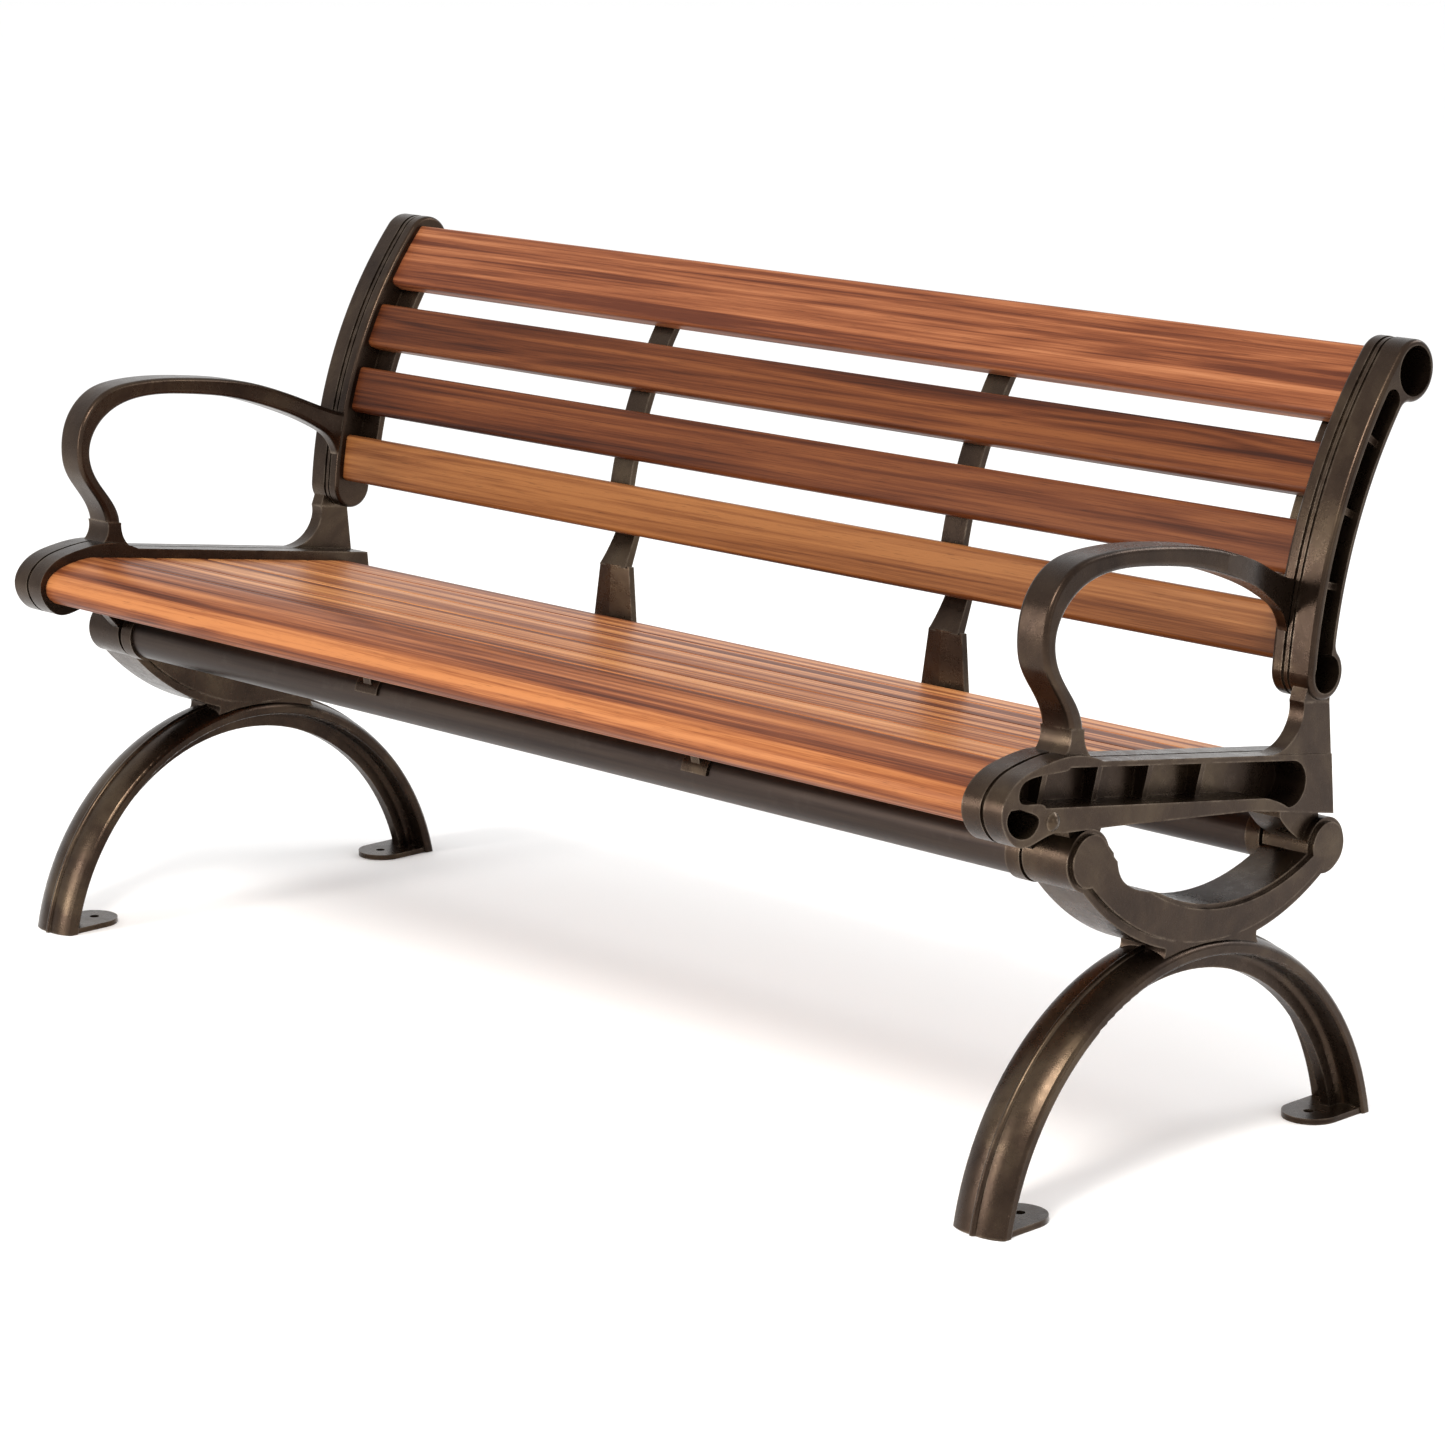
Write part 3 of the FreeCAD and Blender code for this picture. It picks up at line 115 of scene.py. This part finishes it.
class NodeMaterial:
    """A material and short ways to add nodes to it."""

    def __init__(self, name):
        self.material = bpy.data.materials.new(name)
        self.material.use_nodes = True
        self.tree = self.material.node_tree
        self.shader = self.tree.nodes["Principled BSDF"]

    def add(self, kind, **settings):
        node = self.tree.nodes.new(kind)
        for key, value in settings.items():
            setattr(node, key, value)
        return node

    def link(self, source, target):
        self.tree.links.new(source, target)

    def place(self, scale=EVEN, shift=(0, 0, 0)):
        """Position in the bench's own frame, scaled and shifted."""
        where = self.add("ShaderNodeTexCoord")
        mapping = self.add("ShaderNodeMapping")
        mapping.inputs["Scale"].default_value = scale
        mapping.inputs["Location"].default_value = shift
        self.link(where.outputs["Object"], mapping.inputs["Vector"])
        return mapping.outputs["Vector"]

    def noise(self, vector, scale, detail, roughness, distortion=0):
        node = self.add("ShaderNodeTexNoise")
        node.inputs["Scale"].default_value = scale
        node.inputs["Detail"].default_value = detail
        node.inputs["Roughness"].default_value = roughness
        node.inputs["Distortion"].default_value = distortion
        self.link(vector, node.inputs["Vector"])
        return node.outputs["Fac"]

    def ramp(self, factor, *stops):
        """Each stop is a position and either a colour or a grey level."""
        node = self.add("ShaderNodeValToRGB")
        ramp = node.color_ramp
        while len(ramp.elements) < len(stops):
            ramp.elements.new(0.5)
        for element, (position, colour) in zip(ramp.elements, stops):
            element.position = position
            level = colour if hasattr(colour, "__len__") else (colour, colour, colour)
            element.color = (*level, 1)
        self.link(factor, node.inputs["Fac"])
        return node.outputs["Color"]

    def mix(self, factor, first, second):
        """The second colour over the first, by the factor."""
        node = self.add("ShaderNodeMix", data_type="RGBA")
        sockets = (node.inputs[0], node.inputs[6], node.inputs[7])
        for socket, value in zip(sockets, (factor, first, second)):
            if isinstance(value, bpy.types.NodeSocket):
                self.link(value, socket)
            elif hasattr(value, "__len__"):
                socket.default_value = (*value, 1)
            else:
                socket.default_value = value
        return node.outputs[2]

    def math(self, operation, first, second=0.5, third=0.5):
        node = self.add("ShaderNodeMath", operation=operation)
        for socket, value in zip(node.inputs, (first, second, third)):
            if isinstance(value, bpy.types.NodeSocket):
                self.link(value, socket)
            else:
                socket.default_value = value
        return node.outputs[0]

    def bump(self, height, strength, distance):
        node = self.add("ShaderNodeBump")
        node.inputs["Strength"].default_value = strength
        node.inputs["Distance"].default_value = distance
        self.link(height, node.inputs["Height"])
        self.link(node.outputs["Normal"], self.shader.inputs["Normal"])

    def edges(self, radius):
        """0 on open faces, rising on edges and in corners nearer than the radius."""
        bevel = self.add("ShaderNodeBevel", samples=4)
        bevel.inputs["Radius"].default_value = radius
        geometry = self.add("ShaderNodeNewGeometry")
        dot = self.add("ShaderNodeVectorMath", operation="DOT_PRODUCT")
        self.link(bevel.outputs["Normal"], dot.inputs[0])
        self.link(geometry.outputs["Normal"], dot.inputs[1])
        return self.math("SUBTRACT", 1, dot.outputs["Value"])


def casting_material():
    """Bronze-tinted powder coat on a sand casting: mottled, softly pitted, lighter on worn edges."""
    made = NodeMaterial("bronze_casting")
    mottle = made.noise(made.place(), 9, 5, 0.6, 0.4)
    tint = made.ramp(
        mottle,
        (0.3, (0.017, 0.010, 0.007)),
        (0.52, (0.038, 0.024, 0.016)),
        (0.72, (0.072, 0.050, 0.031)),
    )
    speck = made.noise(made.place(), 420, 3, 0.7)
    tint = made.mix(made.ramp(speck, (0.6, 0), (0.78, 0.35)), tint, (0.09, 0.068, 0.05))
    wear = made.ramp(made.edges(0.004), (0.04, 0), (0.3, 0.7))
    patchy = made.ramp(made.noise(made.place(), 45, 4, 0.65), (0.38, 0), (0.62, 1))
    worn = made.math("MULTIPLY", wear, patchy)
    tint = made.mix(worn, tint, (0.20, 0.155, 0.115))
    made.link(tint, made.shader.inputs["Base Color"])
    made.shader.inputs["Metallic"].default_value = 0.85
    made.shader.inputs["Specular IOR Level"].default_value = 0.3
    rough = made.ramp(made.noise(made.place(), 70, 6, 0.7), (0.3, 0.22), (0.7, 0.36))
    made.link(rough, made.shader.inputs["Roughness"])
    grit = made.noise(made.place(), 650, 4, 0.6)
    waves = made.noise(made.place(), 38, 3, 0.5)
    height = made.math("MULTIPLY_ADD", waves, 2.2, grit)
    made.bump(height, 0.18, 0.0006)
    return made.material


def tube_material():
    """The same coat on drawn tube: smoother, with faint lengthwise streaks and a little dust."""
    made = NodeMaterial("tube_paint")
    streak = made.noise(made.place((0.6, 22, 22)), 6, 5, 0.6)
    tint = made.ramp(streak, (0.3, (0.020, 0.013, 0.011)), (0.7, (0.042, 0.029, 0.022)))
    dust = made.ramp(made.noise(made.place(), 55, 5, 0.65), (0.55, 0), (0.85, 0.3))
    tint = made.mix(dust, tint, (0.075, 0.06, 0.05))
    made.link(tint, made.shader.inputs["Base Color"])
    made.shader.inputs["Metallic"].default_value = 0.85
    made.link(made.ramp(streak, (0.2, 0.32), (0.8, 0.44)), made.shader.inputs["Roughness"])
    made.bump(made.noise(made.place(), 500, 3, 0.6), 0.12, 0.0004)
    return made.material


def fastener_material():
    """Zinc-plated steel, dulled."""
    made = NodeMaterial("fastener_steel")
    cloud = made.noise(made.place(), 300, 4, 0.6)
    tint = made.ramp(cloud, (0.3, (0.13, 0.12, 0.105)), (0.7, (0.26, 0.25, 0.22)))
    made.link(tint, made.shader.inputs["Base Color"])
    made.shader.inputs["Metallic"].default_value = 0.95
    made.link(made.ramp(cloud, (0.2, 0.3), (0.8, 0.5)), made.shader.inputs["Roughness"])
    made.bump(cloud, 0.15, 0.0003)
    return made.material


def wood_material(name, tones, seed, rings):
    """Oiled hardwood sawn along X: broad bands, growth rings, streaks, fibres, pores, a soft sheen."""
    made = NodeMaterial(name)
    dark, brown, middle, light = tones
    shift = (seed * 3.7, seed * 1.3, seed * 2.1)
    figure = made.noise(made.place((0.6, 13, 13), shift), 1.5, 2, 0.45, 0.5)
    ring = made.math("SINE", made.math("MULTIPLY", figure, 64))
    bands = made.noise(made.place((0.30, 24, 24), shift), 1.8, 3, 0.5, 0.3)
    streak = made.noise(made.place((0.7, 80, 80), shift), 1.6, 4, 0.6, 0.2)
    line = made.noise(made.place((2.2, 230, 230), shift), 1.5, 3, 0.6)
    fibre = made.noise(made.place((9, 620, 620), shift), 1.6, 2, 0.6)
    tone = made.math("MULTIPLY_ADD", bands, 0.46, 0.01)
    for layer, share in ((ring, rings), (streak, 0.26), (line, 0.16), (fibre, 0.10)):
        tone = made.math("MULTIPLY_ADD", layer, share, tone)
    colour = made.ramp(tone, (0.415, dark), (0.465, brown), (0.515, middle), (0.585, light))
    pores = made.noise(made.place((22, 800, 800), shift), 1.6, 2, 0.5)
    shade = tuple(PORE_SHADE * part for part in dark)
    colour = made.mix(made.ramp(pores, (0.62, 0), (0.74, 0.5)), colour, shade)
    made.link(colour, made.shader.inputs["Base Color"])
    made.link(made.ramp(tone, (0.4, 0.46), (0.6, 0.36)), made.shader.inputs["Roughness"])
    made.shader.inputs["Specular IOR Level"].default_value = 0.12
    made.bump(made.math("MULTIPLY_ADD", pores, -0.6, tone), 0.22, 0.0007)
    return made.material


# ---------------------------------------------------------------- dressing the frame

def soften(node, width, segments=2):
    """Real rounded edges on a frame piece, and smooth shading between near-level faces."""
    node.data.shade_smooth()
    node.data.set_sharp_from_angle(angle=SHARP_ANGLE)
    bevel = node.modifiers.new("edge_round", "BEVEL")
    bevel.width = width
    bevel.segments = segments
    bevel.limit_method = "ANGLE"
    bevel.angle_limit = SHARP_ANGLE
    bevel.harden_normals = True
    bevel.miter_outer = "MITER_ARC"


def paint(node, material):
    node.data.materials.clear()
    node.data.materials.append(material)


def dress_frame():
    casting = casting_material()
    tube = tube_material()
    steel = fastener_material()
    for name, node in NODES.items():
        if name in WOOD:
            number = int(name[-1])
            tones, rings = WOOD[name]
            seed = number if name.startswith("seat") else number + BACK_SEED_SHIFT
            paint(node, wood_material(name + "_wood", tones, seed, rings))
            soften(node, 0.001)
        elif name.endswith("_tube"):
            paint(node, tube)
            soften(node, 0.001)
        elif name.endswith("screws"):
            paint(node, steel)
            soften(node, 0.0005)
        else:
            paint(node, casting)
            soften(node, 0.002, 3)


add_camera()
add_floor()
add_studio_light()
dress_frame()
